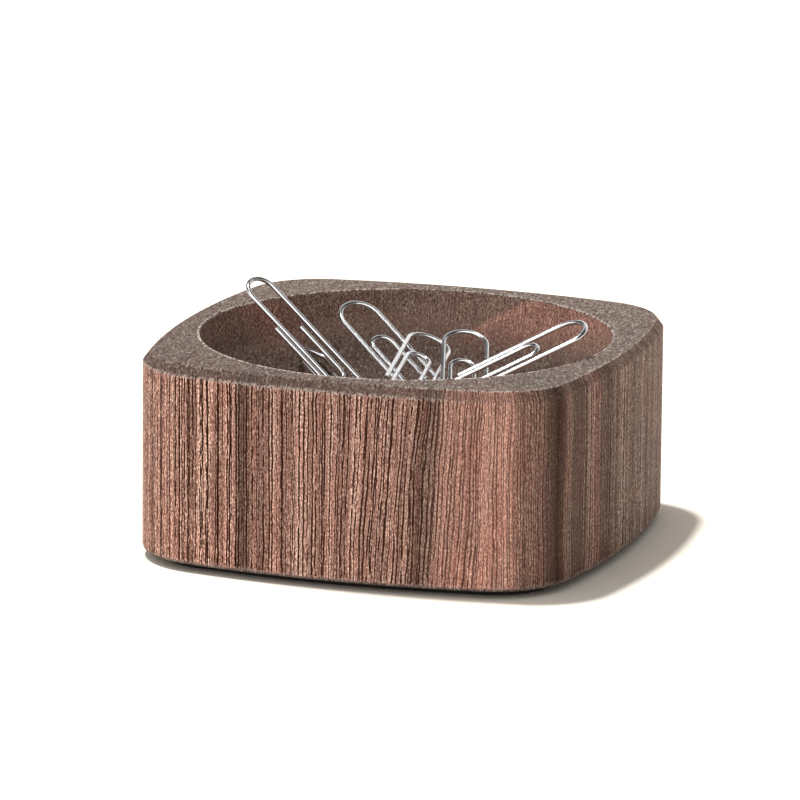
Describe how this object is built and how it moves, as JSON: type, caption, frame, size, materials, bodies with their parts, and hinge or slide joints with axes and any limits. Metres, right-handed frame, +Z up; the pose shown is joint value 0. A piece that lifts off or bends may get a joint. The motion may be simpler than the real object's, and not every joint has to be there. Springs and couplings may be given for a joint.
{
  "type": "paper clip dish",
  "caption": "Dark walnut block, bowed square in plan, with a round bowl turned into its top that holds loose wire paper clips; a rubber pad under it.",
  "frame": {"origin": "middle of the pad's flat underside, on the table", "axes": "+Z up out of the bowl, +X to the right and +Y away from the side that faces the viewer"},
  "size_m": [0.08, 0.08, 0.0433],
  "materials": {
    "walnut": "oiled",
    "rubber": "matt",
    "bright_wire": "bright plated wire"
  },
  "bodies": {
    "dish": {"dish_body": "walnut", "base_pad": "rubber"},
    "clip_low": {"clip_low": "bright_wire"},
    "clip_left": {"clip_left": "bright_wire"},
    "clip_middle": {"clip_middle": "bright_wire"},
    "clip_crossed": {"clip_crossed": "bright_wire"},
    "clip_upright": {"clip_upright": "bright_wire"},
    "clip_right": {"clip_right": "bright_wire"}
  },
  "joints": [
    {"name": "clip_low_lift", "type": "slide", "parent": "dish", "child": "clip_low", "axis": [-0.3214, -0.5567, 0.766], "range_m": [0, 0.06]},
    {"name": "clip_left_lift", "type": "slide", "parent": "clip_low", "child": "clip_left", "axis": [-0.3401, 0.0357, 0.9397], "range_m": [0, 0.06]},
    {"name": "clip_middle_lift", "type": "slide", "parent": "dish", "child": "clip_middle", "axis": [-0.7568, 0.4024, 0.515], "range_m": [0, 0.06]},
    {"name": "clip_crossed_lift", "type": "slide", "parent": "dish", "child": "clip_crossed", "axis": [-0.7198, 0.262, 0.6428], "range_m": [0, 0.06]},
    {"name": "clip_upright_lift", "type": "slide", "parent": "dish", "child": "clip_upright", "axis": [-0.2798, 0.8874, 0.3665], "range_m": [0, 0.06]},
    {"name": "clip_right_lift", "type": "slide", "parent": "dish", "child": "clip_right", "axis": [0.7789, 0.4773, 0.4067], "range_m": [0, 0.06]}
  ]
}
